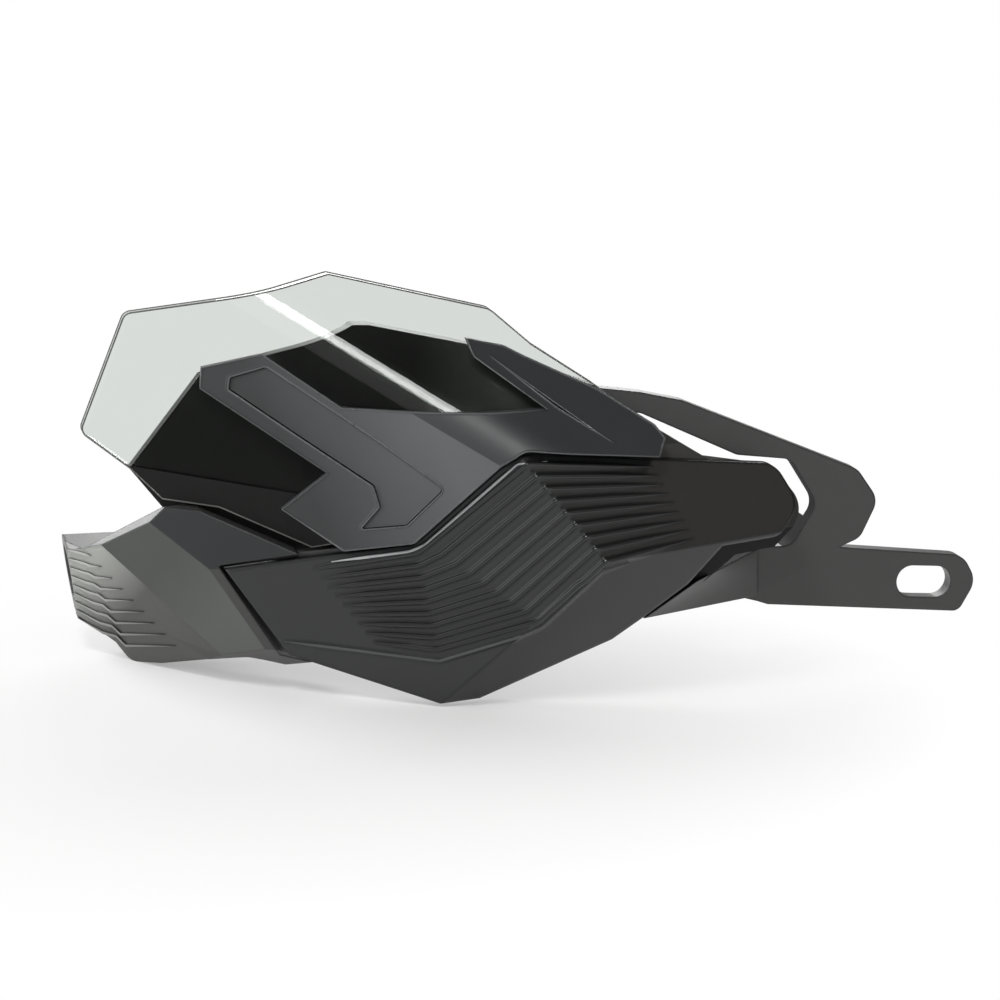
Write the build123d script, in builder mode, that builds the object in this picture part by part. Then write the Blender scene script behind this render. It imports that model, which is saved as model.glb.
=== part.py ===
"""Motorcycle hand guard: a moulded frame with a ribbed band, a cover and a clear screen on its front.

Sizes are in mm. x runs inboard along the handlebar, y towards the rider and z up.
The origin is on the bar-end hole's axis, where the bolt's washer seats on the lug.
"""

import os
from math import cos, radians, sin

from build123d import *

# Main sizes, from the bar-end hole's axis
strap_reach = 247.0  # inboard, to the strap's end
guard_reach = 101.7  # forward, to the prow
screen_top = 89.2  # up, to the screen's peak

# Walls and clearances
touch = 0.01  # how near counts as lying on a plane
seat = 0.1  # between faces that are clamped together
groove = 1.2  # shadow gap between neighbouring front pieces
band_wall = 2.8
cover_wall = 2.2
screen_wall = 3.0
carrier_wall = 4.2
arm_wall = 5.0
strap_wall = 5.0
end_depth = 16.0
end_wall = 4.2
zone_overlap = 3.0  # how far the spine and the wing run into each other
loop_lip_depth = 12.0
fold_radius = 15.0  # bend of the screen, on its outer side
screen_lean = 54.0  # how far the screen's inner half leans back

# Surface detail
rib_count = 9
rib_width = 1.3
rib_height = 0.7
lug_rib_count = 9
lug_rib_width = 0.8
lug_rib_height = 0.45
panel_sink = 0.6
groove_width = 1.0

# Bar-end lug and its steel sleeve
lug_length = 17.0
lug_radius = 11.2
lug_front = 45.0
spot_radius = 8.2
sleeve_radius = 6.5
bar_bolt_bore_radius = 4.3
end_face_tilt = 8.0

# Slot of the inner strap
slot_length = 16.0
slot_width = 9.0
slot_inset = 15.5  # from the strap's end to the slot's middle
slot_z = 2.5
strap_tilt = -4.0

# Fasteners: boss, hex insert, washer and hex screw on one axis
boss_radius = 4.5
boss_gap = 0.25
boss_short = 0.2
insert_across = 5.8
insert_length = 4.5
thread_radius = 2.0
thread_gap = 0.1
tip_room = 0.6
washer_radius = 6.0
washer_wall = 1.0
head_across = 7.0
head_height = 2.8
grommet_wall = 1.5

# Landmarks on the outer facets, as (x, y, z)
tip = (90.5, -84.0, -21.0)
prow = (132.0, -guard_reach, 19.8)
end_corner = (32.5, -50.6, 11.1)
cover_foot = (98.0, -82.6, 33.9)
fold = (95.1, -75.8, 58.0)
hem = (31.7, -41.7, 33.1)
lug_crest = (5.5, -26.3, 13.7)
lug_ridge = (9.1, -27.0, 17.4)
lug_foot = (40.0, -53.8, -12.2)
strap_root = (195.0, -71.0, 7.5)

# Room for the blocks that the facets trim
room_front = 140.0
room_back = 60.0
room_reach = 400.0


def facet(point, yaw, pitch):
    """Plane of one outer facet: yaw turns it inboard, pitch leans it upwards."""
    level = cos(radians(pitch))
    normal = (sin(radians(yaw)) * level, -cos(radians(yaw)) * level, sin(radians(pitch)))
    return Plane(origin=point, x_dir=(cos(radians(yaw)), sin(radians(yaw)), 0), z_dir=normal)


def depth_on(plane, x, z):
    """The y of a plane's point in front of x and z."""
    normal = plane.z_dir
    start = plane.origin
    return start.Y - (normal.X * (x - start.X) + normal.Z * (z - start.Z)) / normal.Y


band_outer = facet(tip, -27.5, 5)
band_inner = facet(prow, 6, 30)
band_lip = facet(prow, 11.5, -31.5)
screen_outer = facet(cover_foot, -31.5, 10)
screen_inner = facet(fold, 5.5, screen_lean)
screen_hem = facet(hem, -32.5, -2)
lug_side = facet(end_corner, -42.5, -6.8)
lug_ribbed = facet(lug_crest, -52, -19.2)
lug_top = facet(lug_crest, -71, 41)
lug_brow = facet(end_corner, -29, 15.4)
lug_keel = facet(lug_foot, -23.4, -55)
lug_slope = facet(lug_ridge, -156.3, 60)
loop_face = facet(strap_root, -5, 10)
strap_face = facet(strap_root, 0, 0)

band_facets = [band_outer, band_inner, band_lip]
cover_facets = [screen_outer, screen_inner]
screen_facets = [screen_outer, screen_inner, screen_hem]
lug_facets = [lug_side, lug_ribbed, lug_top, lug_brow, lug_keel, band_outer]
strap_facets = [loop_face, strap_face]

# Front outlines, as (x, z, corner radius)
band_crown = [(56.5, 15.5, 0), (84.5, 21.0, 3), (106.5, 43.0, 4), (113.0, 47.0, 6)]
band_outline = [
    (36.8, 11.2, 0),
    *band_crown,
    (183.5, 40.8, 6),
    (189.3, 30.0, 6),
    (181.5, 22.6, 4),
    (165.7, 21.3, 0),
    (157.7, 9.9, 0),
    (146.0, 0.1, 0),
    (138.1, -6.0, 0),
    (101.8, -21.0, 0),
    (90.5, -21.4, 0),
    (52.6, -11.0, 0),
]
cover_outline = [
    (33.0, 65.0, 0),
    (48.5, 69.5, 0),
    (68.0, 56.5, 0),
    (121.5, 57.0, 0),
    (104.5, 69.5, 0),
    (103.5, 73.5, 0),
    (113.5, 71.5, 0),
    (118.5, 69.0, 0),
    (136.5, 61.0, 0),
    (150.0, 52.5, 2),
    (152.0, 49.5, 0),
    (149.0, 45.6, 0),
]
cover_back_outline = [(52.0, 28.5, 0), (64.0, 39.0, 0), (32.5, 59.5, 0)]
screen_outline = [
    (1.0, 45.0, 2.5),
    (14.0, 78.0, 3),
    (69.0, screen_top, 2),
    (112.5, 79.5, 4),
    (122.0, 71.0, 0),
    (137.0, 61.3, 0),
    (147.5, 52.5, 0),
    (146.0, 48.6, 0),
]
screen_foot = [(60.0, 17.8, 0), (36.5, 27.0, 2), (22.0, 28.0, 0), (14.0, 35.8, 0)]
wing_outline = [
    (14.0, 35.0, 0),
    (33.5, 62.0, 0),
    (51.0, 68.5, 0),
    (73.5, 76.0, 0),
    (78.0, 75.8, 0),
    (104.0, 70.5, 0),
    (138.0, 59.5, 0),
    (152.5, 50.0, 0),
    (165.0, 42.5, 0),
    (163.0, 39.5, 0),
]
wing_foot = [(35.0, 22.5, 0), (23.0, 24.0, 0)]
spine_outline = [
    (165.0, 42.5, 0),
    (184.0, 39.3, 6),
    (191.0, 29.5, 6),
    (183.0, 18.5, 0),
    (171.5, 17.0, 0),
    (163.5, 9.0, 0),
    (148.5, 1.0, 0),
    (138.0, -4.5, 0),
    (101.8, -19.0, 0),
    (90.5, -19.4, 0),
    (49.0, -10.5, 0),
    (33.5, 10.0, 0),
]
root_outline = [
    (139.0, 58.5, 0),
    (151.0, 50.7, 0),
    (143.0, 50.5, 0),
    (137.5, 54.5, 0),
]
end_outline = [
    (-2 * lug_radius, lug_radius, 0),
    (1.0, lug_radius, 0),
    (9.1, 17.4, 0),
    (21.4, 26.6, 0),
    (31.1, 26.2, 0),
    (56.0, 16.6, 0),
    (35.0, 12.1, 0),
    (50.8, -12.2, 0),
    (60.0, -14.8, 0),
    (53.2, -16.6, 0),
    (47.4, -15.0, 4),
    (42.8, -14.0, 6),
    (32.9, -16.0, 8),
    (21.6, -21.0, 6),
    (14.0, -22.8, 3),
    (10.0, -17.5, 0),
    (6.7, -15.4, 0),
    (-0.1, -lug_radius, 0),
    (-2 * lug_radius, -lug_radius, 0),
]
end_cavity = [
    (lug_length, -15.5, 0),
    (lug_length, 19.0, 0),
    (22.0, 21.5, 0),
    (30.0, 20.5, 0),
    (29.0, 9.0, 0),
    (43.5, -8.5, 0),
    (34.0, -11.0, 0),
    (20.0, -16.0, 0),
]
strap_end = [(-4.0, 9.5, 6), (0.0, 2.0, 6), (-5.0, -6.6, 3)]
loop_inside = [(193.0, 14.2, 5), (200.8, 25.5, 5), (193.5, 38.0, 4), (178.5, 39.5, 4)]
loop_outline = [
    (137.0, 59.0, 0),
    (152.0, 57.2, 4),
    (163.5, 54.8, 4),
    (212.5, 34.8, 5),
    (218.0, 26.3, 5),
    (212.5, 16.0, 5),
    (206.5, 13.5, 0),
    *[(strap_reach + x, z, radius) for x, z, radius in strap_end],
    (186.0, -1.8, 1.5),
    (182.8, -0.7, 0),
    (179.5, 0.2, 0),
    (178.5, 1.5, 0),
    (180.0, 14.2, 0),
    *loop_inside,
    (152.0, 51.5, 3),
    (137.0, 53.0, 0),
]
lip_outline = [
    (180.0, 14.2, 0),
    (193.0, 14.2, 5),
    (198.0, 21.4, 0),
    (200.4, 19.8, 0),
    (194.4, 11.4, 5),
    (180.0, 11.4, 0),
]

# Arm from the band's lip to the strap: the outer edges of its two ends, as (x, z)
arm_start = [(146.6, -0.1), (160.3, 10.4)]
arm_end = [(183.0, 0.8), (183.0, 14.2)]

cover_panel = [
    (40.0, 63.0, 1),
    (49.5, 66.5, 1.5),
    (76.0, 49.0, 0),
    (92.8, 37.0, 1.5),
    (83.0, 26.5, 1),
    (71.0, 24.5, 0.5),
    (76.3, 31.0, 1),
    (75.0, 36.3, 1.5),
    (57.5, 47.6, 0),
    (39.5, 59.5, 1),
]
cover_groove = [(109.1, 69.2), (124.0, 57.9), (137.1, 49.1)]
cover_heel_x = 67.0
screen_heel_x = 68.5

# Ribs of the band: the first and the last one, from their outboard to their inboard ends
first_rib = [(59.0, 12.8), (85.8, 19.0), (88.5, 21.4), (113.5, 44.6), (148.5, 42.0)]
last_rib = [(74.0, -5.9), (90.0, -6.8), (115.9, 2.9), (131.8, 19.8), (157.5, 23.8)]
edge_rib = [(51.5, -7.5), (90.5, -9.9), (116.8, 0.6), (131.5, 16.6), (139.0, 18.6)]

# Ribs of the lug: the first and the last one, from the end face inboard
first_lug_rib = [(-4.0, 10.0), (-1.0, 9.9), (0.2, 9.8), (1.4, 9.7), (3.0, 9.6)]
last_lug_rib = [(-1.0, -11.6), (6.6, -15.2), (10.0, -15.4), (12.4, -17.8), (24.7, -14.1)]

# Fastener places on the front, as (facet, x, z)
cover_places = [
    (screen_outer, 48.5, 60.5),
    (screen_inner, 131.5, 54.5),
]
band_places = [
    (band_outer, 67.0, -6.0),
    (band_outer, 102.0, 18.0),
    (band_inner, 160.0, 33.0),
]


def raised(outline, rise):
    """The same corners, moved up by rise."""
    return [(x, z + rise, radius) for x, z, radius in outline]


def face_on_front(outline):
    """Flat face of an outline, standing behind the whole guard."""
    with BuildSketch(Plane.XZ.offset(-room_back)) as face:
        with BuildLine():
            corners = [(x, z) for x, z, radius in outline]
            FilletPolyline(*corners, radius=[radius for x, z, radius in outline], close=True)
        make_face()
    return face.sketch


def at_depth(planes, depth):
    """The same planes, moved inwards by depth."""
    return [plane.offset(-depth) for plane in planes]


def behind(facets, bend):
    """Block of all that lies behind the facets, with a bend between the first two."""
    with BuildPart() as body:
        with BuildSketch(Plane.XZ.offset(-room_back)):
            Rectangle(2 * room_reach, 2 * room_reach)
        extrude(amount=room_front + room_back)
        for plane in facets[:2]:
            split(bisect_by=plane, keep=Keep.BOTTOM)
        if bend > 0:
            ridge = body.edges()
            for plane in facets[:2]:
                ridge = [edge for edge in ridge if plane.contains(edge @ 0.5, touch)]
            fillet(ridge, radius=bend)
        for plane in facets[2:]:
            split(bisect_by=plane, keep=Keep.BOTTOM)
    return body.part


def panel(outline, facets, wall, bend=0):
    """Faceted wall of one front outline, with its outer side on the facets."""
    face = face_on_front(outline)
    outer = behind(facets, bend)
    core = behind(at_depth(facets, wall), bend - wall)
    with BuildPart() as body:
        extrude(face, amount=room_front + room_back)
        add(outer, mode=Mode.INTERSECT)
        add(core, mode=Mode.SUBTRACT)
    return body.part


def block(outline, facets, back):
    """Solid of one front outline, from the facets to one plane at its back."""
    face = face_on_front(outline)
    with BuildPart() as body:
        extrude(face, amount=room_front + room_back)
        for plane in facets:
            split(bisect_by=plane, keep=Keep.BOTTOM)
        split(bisect_by=back, keep=Keep.TOP)
    return body.part


def section(edge, facet_plane, wall):
    """Plane and corners of one end of the arm: its outer edge on a facet, and the wall behind that."""
    (x0, z0), (x1, z1) = edge
    y0 = depth_on(facet_plane, x0, z0)
    rise = depth_on(facet_plane, x1, z1) - y0
    plane = Plane(origin=(x0, y0, z0), x_dir=(x1 - x0, 0, z1 - z0), z_dir=(z0 - z1, 0, x1 - x0))
    length = Vector(x1 - x0, z1 - z0).length
    return plane, [(0, 0), (length, rise), (length, rise + wall), (0, wall)]


def strip(path, width):
    """Outline of a narrow strip along a path, pointed at both ends."""
    middle = path[1:-1]
    upper = [(x, z + width / 2, 0) for x, z in middle]
    lower = [(x, z - width / 2, 0) for x, z in reversed(middle)]
    return [(*path[0], 0), *upper, (*path[-1], 0), *lower]


def between(first, last, share):
    """Path that lies at a share of the way from the first path to the last one."""
    return [(a + (c - a) * share, b + (d - b) * share) for (a, b), (c, d) in zip(first, last)]


def axes_at(places):
    """Planes square to the facets at the fastener places, on the facets' outer sides."""
    planes = []
    for plane, x, z in places:
        planes.append(Plane(origin=(x, depth_on(plane, x, z), z), x_dir=plane.x_dir, z_dir=plane.z_dir))
    return planes


def heel_on(line, x):
    """Point of a line's last stretch at x."""
    (x0, z0, r0), (x1, z1, r1) = line[-2:]
    return (x, z0 + (z1 - z0) * (x - x0) / (x1 - x0), 1)


cover_axes = axes_at(cover_places)
band_axes = axes_at(band_places)
wing_front = screen_wall + seat
wing_back = wing_front + carrier_wall
spine_front = band_wall + seat
spine_back = spine_front + carrier_wall
spine_facets = at_depth(cover_facets, wing_front) + at_depth(band_facets, spine_front)
wing_facets = at_depth(screen_facets, wing_front) + at_depth(band_facets, spine_front)
carrier_bend = fold_radius - wing_front
grommet_radius = boss_radius + seat + grommet_wall
cover_front = seat + cover_wall
cover_foot_outline = raised(list(reversed(band_crown)), groove)
screen_tuck = raised(cover_foot_outline, groove)


# Clear screen: one sheet, folded along a slanting line, with a bent hem
screen_heel = heel_on(screen_tuck, screen_heel_x)
screen_sheet = panel(
    screen_outline + screen_tuck[:-1] + [screen_heel] + screen_foot,
    screen_facets,
    screen_wall,
    fold_radius,
)
with BuildPart() as wind_screen:
    add(screen_sheet)
    with BuildSketch(*at_depth(cover_axes, -seat)):
        Circle(grommet_radius + seat)
    extrude(amount=-(wing_front + seat), mode=Mode.SUBTRACT)
wind_screen.part.label = "wind_screen"


# Upper cover: satin shell that clamps the screen, with a sunk panel and bosses behind
cover_heel = heel_on(cover_foot_outline, cover_heel_x)
cover_shell = panel(
    cover_outline + cover_foot_outline[:-1] + [cover_heel] + cover_back_outline,
    at_depth(cover_facets, -cover_front),
    cover_wall,
    fold_radius + cover_front,
)
cover_skin = at_depth(cover_facets, -(cover_front + seat))
cover_sink = panel(cover_panel, cover_skin, panel_sink + seat)
cover_cut = panel(strip(cover_groove, groove_width), cover_skin, panel_sink + seat)
with BuildPart() as upper_cover:
    add(cover_shell)
    add(cover_sink, mode=Mode.SUBTRACT)
    add(cover_cut, mode=Mode.SUBTRACT)
    with BuildSketch(*at_depth(cover_axes, -seat)):
        Circle(boss_radius)
    extrude(amount=-(wing_back - boss_short + seat))
    with BuildSketch(*at_depth(cover_axes, wing_back - boss_short)):
        RegularPolygon(insert_across / 2 + seat, 6, major_radius=False)
    extrude(amount=insert_length + tip_room, mode=Mode.SUBTRACT)
upper_cover.part.label = "upper_cover"


# Front band: gloss shell over three facets, with ribs that fan out between its two bends
band_shell = panel(band_outline, band_facets, band_wall)
band_paths = [between(first_rib, last_rib, i / (rib_count - 1)) for i in range(rib_count)] + [edge_rib]
rib_skin = at_depth(band_facets, -rib_height)
band_ribs = [panel(strip(path, rib_width), rib_skin, rib_height + band_wall / 2) for path in band_paths]
with BuildPart() as front_band:
    add(band_shell)
    for rib in band_ribs:
        add(rib)
    with BuildSketch(*at_depth(band_axes, band_wall / 2)):
        Circle(boss_radius)
    extrude(amount=-(spine_back - boss_short - band_wall / 2))
    with BuildSketch(*at_depth(band_axes, spine_back - boss_short)):
        RegularPolygon(insert_across / 2 + seat, 6, major_radius=False)
    extrude(amount=insert_length + tip_room, mode=Mode.SUBTRACT)
front_band.part.label = "front_band"


# Frame: lug end, spine, wing, arm and loop, moulded in one piece
end_facets = [*lug_facets, lug_slope]
end_block = block(end_outline, end_facets, lug_side.offset(-end_depth))
end_hollow = block(end_cavity, at_depth(end_facets, end_wall), lug_side.offset(-room_back))
spine = panel(spine_outline + raised(band_crown, groove / 2), spine_facets, carrier_wall, carrier_bend)
wing = panel(
    wing_outline + raised(list(reversed(band_crown)), -zone_overlap) + wing_foot,
    wing_facets,
    carrier_wall,
    carrier_bend,
)
loop = panel(loop_outline, strap_facets, strap_wall)
loop_root = block(root_outline, wing_facets, loop_face.offset(-strap_wall))
loop_lip = block(lip_outline, strap_facets, loop_face.offset(-loop_lip_depth))
lug_paths = [between(first_lug_rib, last_lug_rib, i / (lug_rib_count - 1)) for i in range(lug_rib_count)]
lug_skin = at_depth([lug_ribbed], -lug_rib_height)
lug_ribs = [panel(strip(path, lug_rib_width), lug_skin, end_wall) for path in lug_paths]
end_normal = (-cos(radians(end_face_tilt)), 0, -sin(radians(end_face_tilt)))
end_face = Plane(origin=(0, 0, -lug_radius), z_dir=end_normal)
with BuildPart() as lug:
    with BuildSketch(Plane.YZ.offset(-lug_radius)):
        Circle(lug_radius)
        with Locations((-lug_front / 2, 0)):
            Rectangle(lug_front, 2 * lug_radius)
    extrude(amount=lug_length + lug_radius)
    for plane in lug_facets:
        split(bisect_by=plane, keep=Keep.BOTTOM)

arm_sections = [section(arm_start, band_lip, arm_wall), section(arm_end, strap_face, strap_wall)]
with BuildPart() as arm:
    for plane, corners in arm_sections:
        with BuildSketch(plane):
            with BuildLine():
                Polyline(*corners, close=True)
            make_face()
    loft(ruled=True)

with BuildPart() as frame:
    add(end_block)
    add(end_hollow, mode=Mode.SUBTRACT)
    add(lug.part)
    for rib in lug_ribs:
        add(rib)
    split(bisect_by=end_face, keep=Keep.BOTTOM)
    add(spine)
    add(wing)
    add(arm.part)
    add(loop)
    add(loop_root)
    add(loop_lip)
    with BuildSketch(Plane.YZ):
        Circle(spot_radius)
    extrude(amount=-lug_length, mode=Mode.SUBTRACT)
    with BuildSketch(Plane.YZ):
        Circle(sleeve_radius + seat)
    extrude(amount=lug_length, mode=Mode.SUBTRACT)
    with BuildSketch(strap_face):
        with Locations((strap_reach - slot_inset - strap_root[0], slot_z - strap_root[2])):
            SlotOverall(slot_length, slot_width, rotation=strap_tilt)
    extrude(amount=strap_wall, both=True, mode=Mode.SUBTRACT)
    with BuildSketch(*at_depth(cover_axes, wing_front - seat)):
        Circle(boss_radius + boss_gap)
    extrude(amount=-(carrier_wall + 2 * seat), mode=Mode.SUBTRACT)
    with BuildSketch(*at_depth(band_axes, spine_front - seat)):
        Circle(boss_radius + boss_gap)
    extrude(amount=-(carrier_wall + 2 * seat), mode=Mode.SUBTRACT)
frame.part.label = "frame"


# Steel sleeve of the bar-end hole
with BuildPart() as bar_end_sleeve:
    with BuildSketch(Plane.YZ):
        Circle(sleeve_radius)
        Circle(bar_bolt_bore_radius, mode=Mode.SUBTRACT)
    extrude(amount=lug_length)
bar_end_sleeve.part.label = "bar_end_sleeve"


# Rubber grommets round the cover's bosses, in the screen's holes
with BuildPart() as screen_grommets:
    with BuildSketch(*at_depth(cover_axes, 0)):
        Circle(grommet_radius)
        Circle(boss_radius + seat, mode=Mode.SUBTRACT)
    extrude(amount=-screen_wall)
screen_grommets.part.label = "screen_grommets"


# Brass inserts in the ends of the cover's bosses
with BuildPart() as cover_inserts:
    with BuildSketch(*at_depth(cover_axes, wing_back - boss_short)):
        RegularPolygon(insert_across / 2, 6, major_radius=False)
        Circle(thread_radius + thread_gap, mode=Mode.SUBTRACT)
    extrude(amount=insert_length)
cover_inserts.part.label = "cover_inserts"


# Brass inserts in the ends of the band's bosses
with BuildPart() as band_inserts:
    with BuildSketch(*at_depth(band_axes, spine_back - boss_short)):
        RegularPolygon(insert_across / 2, 6, major_radius=False)
        Circle(thread_radius + thread_gap, mode=Mode.SUBTRACT)
    extrude(amount=insert_length)
band_inserts.part.label = "band_inserts"


# Steel washers that clamp the wing from behind
with BuildPart() as cover_washers:
    with BuildSketch(*at_depth(cover_axes, wing_back + seat)):
        Circle(washer_radius)
        Circle(thread_radius + boss_gap, mode=Mode.SUBTRACT)
    extrude(amount=-washer_wall)
cover_washers.part.label = "cover_washers"


# Steel washers that clamp the spine from behind
with BuildPart() as band_washers:
    with BuildSketch(*at_depth(band_axes, spine_back + seat)):
        Circle(washer_radius)
        Circle(thread_radius + boss_gap, mode=Mode.SUBTRACT)
    extrude(amount=-washer_wall)
band_washers.part.label = "band_washers"


# Hex screws of the cover: head, and shank down to the insert's far end
head_stack = 2 * seat + washer_wall
shank_length = head_stack + boss_short + insert_length
with BuildPart() as cover_screws:
    with BuildSketch(*at_depth(cover_axes, wing_back + head_stack)):
        RegularPolygon(head_across / 2, 6, major_radius=False)
    extrude(amount=-head_height)
    with BuildSketch(*at_depth(cover_axes, wing_back + head_stack)):
        Circle(thread_radius)
    extrude(amount=shank_length)
cover_screws.part.label = "cover_screws"


# Hex screws of the band, of the same kind
with BuildPart() as band_screws:
    with BuildSketch(*at_depth(band_axes, spine_back + head_stack)):
        RegularPolygon(head_across / 2, 6, major_radius=False)
    extrude(amount=-head_height)
    with BuildSketch(*at_depth(band_axes, spine_back + head_stack)):
        Circle(thread_radius)
    extrude(amount=shank_length)
band_screws.part.label = "band_screws"


os.makedirs("parts", exist_ok=True)
export_step(frame.part, "parts/frame.step")
export_step(front_band.part, "parts/front_band.step")
export_step(upper_cover.part, "parts/upper_cover.step")
export_step(wind_screen.part, "parts/wind_screen.step")
export_step(bar_end_sleeve.part, "parts/bar_end_sleeve.step")
export_step(screen_grommets.part, "parts/screen_grommets.step")
export_step(cover_inserts.part, "parts/cover_inserts.step")
export_step(cover_washers.part, "parts/cover_washers.step")
export_step(cover_screws.part, "parts/cover_screws.step")
export_step(band_inserts.part, "parts/band_inserts.step")
export_step(band_washers.part, "parts/band_washers.step")
export_step(band_screws.part, "parts/band_screws.step")
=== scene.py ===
"""Looks of a motorcycle hand guard: soft edges, plastic, clear sheet and metal finishes, and a studio."""

import logging
from collections.abc import Callable
from dataclasses import dataclass
from enum import Enum
from math import cos, pi, radians, sin

import bmesh
import bpy
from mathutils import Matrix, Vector


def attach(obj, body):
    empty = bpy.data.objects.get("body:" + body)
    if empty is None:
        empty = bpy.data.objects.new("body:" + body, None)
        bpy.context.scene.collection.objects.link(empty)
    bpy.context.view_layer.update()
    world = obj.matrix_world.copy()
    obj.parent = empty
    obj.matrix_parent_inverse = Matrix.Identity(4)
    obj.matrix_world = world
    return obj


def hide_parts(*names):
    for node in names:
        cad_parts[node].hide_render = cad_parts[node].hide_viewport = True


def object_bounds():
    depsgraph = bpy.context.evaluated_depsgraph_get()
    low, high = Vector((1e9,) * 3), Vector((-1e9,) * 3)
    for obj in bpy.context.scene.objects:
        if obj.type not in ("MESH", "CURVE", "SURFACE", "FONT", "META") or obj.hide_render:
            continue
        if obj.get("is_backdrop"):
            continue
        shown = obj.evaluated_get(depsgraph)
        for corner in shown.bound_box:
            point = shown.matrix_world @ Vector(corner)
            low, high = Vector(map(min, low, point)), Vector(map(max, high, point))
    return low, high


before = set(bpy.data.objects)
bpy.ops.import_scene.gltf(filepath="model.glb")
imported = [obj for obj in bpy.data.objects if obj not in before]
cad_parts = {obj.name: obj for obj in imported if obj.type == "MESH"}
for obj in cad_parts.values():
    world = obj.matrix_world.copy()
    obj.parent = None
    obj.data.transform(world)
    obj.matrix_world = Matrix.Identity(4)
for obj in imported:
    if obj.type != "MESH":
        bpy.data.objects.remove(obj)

LOG = logging.getLogger("hand_guard")
MM = 0.001
BODY = "root"
EDGE_SAMPLES = 6
NOISE_MIDDLE = 0.5
WALL_LEAN = 0.05
FRONT_LEAN = -0.3
INBOARD_LEAN = 0.2
BEAD_ROUNDNESS = 2

Colour = tuple[float, float, float]
Point = tuple[float, float, float]
Span = tuple[float, float]
Path = tuple[Span, ...]


class Wire:
    """One output of a shader node, with operators that add Math nodes."""

    def __init__(self, graph: "Graph", socket: bpy.types.NodeSocket) -> None:
        """Keep the socket and the graph that it belongs to."""
        self.graph = graph
        self.socket = socket

    def math(self, operation: str, first: "Wire | float", second: "Wire | float") -> "Wire":
        """Add a Math node.

        Args:
            operation: name of the Math node's operation.
            first: value of its first socket.
            second: value of its second socket.

        Returns:
            The node's result.
        """
        return self.graph.add("ShaderNodeMath", {"operation": operation}, {0: first, 1: second}, 0)

    def __add__(self, other: "Wire | float") -> "Wire":
        """Sum."""
        return self.math("ADD", self, other)

    def __radd__(self, other: float) -> "Wire":
        """Sum with a number on the left."""
        return self.math("ADD", other, self)

    def __sub__(self, other: "Wire | float") -> "Wire":
        """Difference."""
        return self.math("SUBTRACT", self, other)

    def __rsub__(self, other: float) -> "Wire":
        """Difference from a number on the left."""
        return self.math("SUBTRACT", other, self)

    def __mul__(self, other: "Wire | float") -> "Wire":
        """Product."""
        return self.math("MULTIPLY", self, other)

    def __rmul__(self, other: float) -> "Wire":
        """Product with a number on the left."""
        return self.math("MULTIPLY", other, self)


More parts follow.
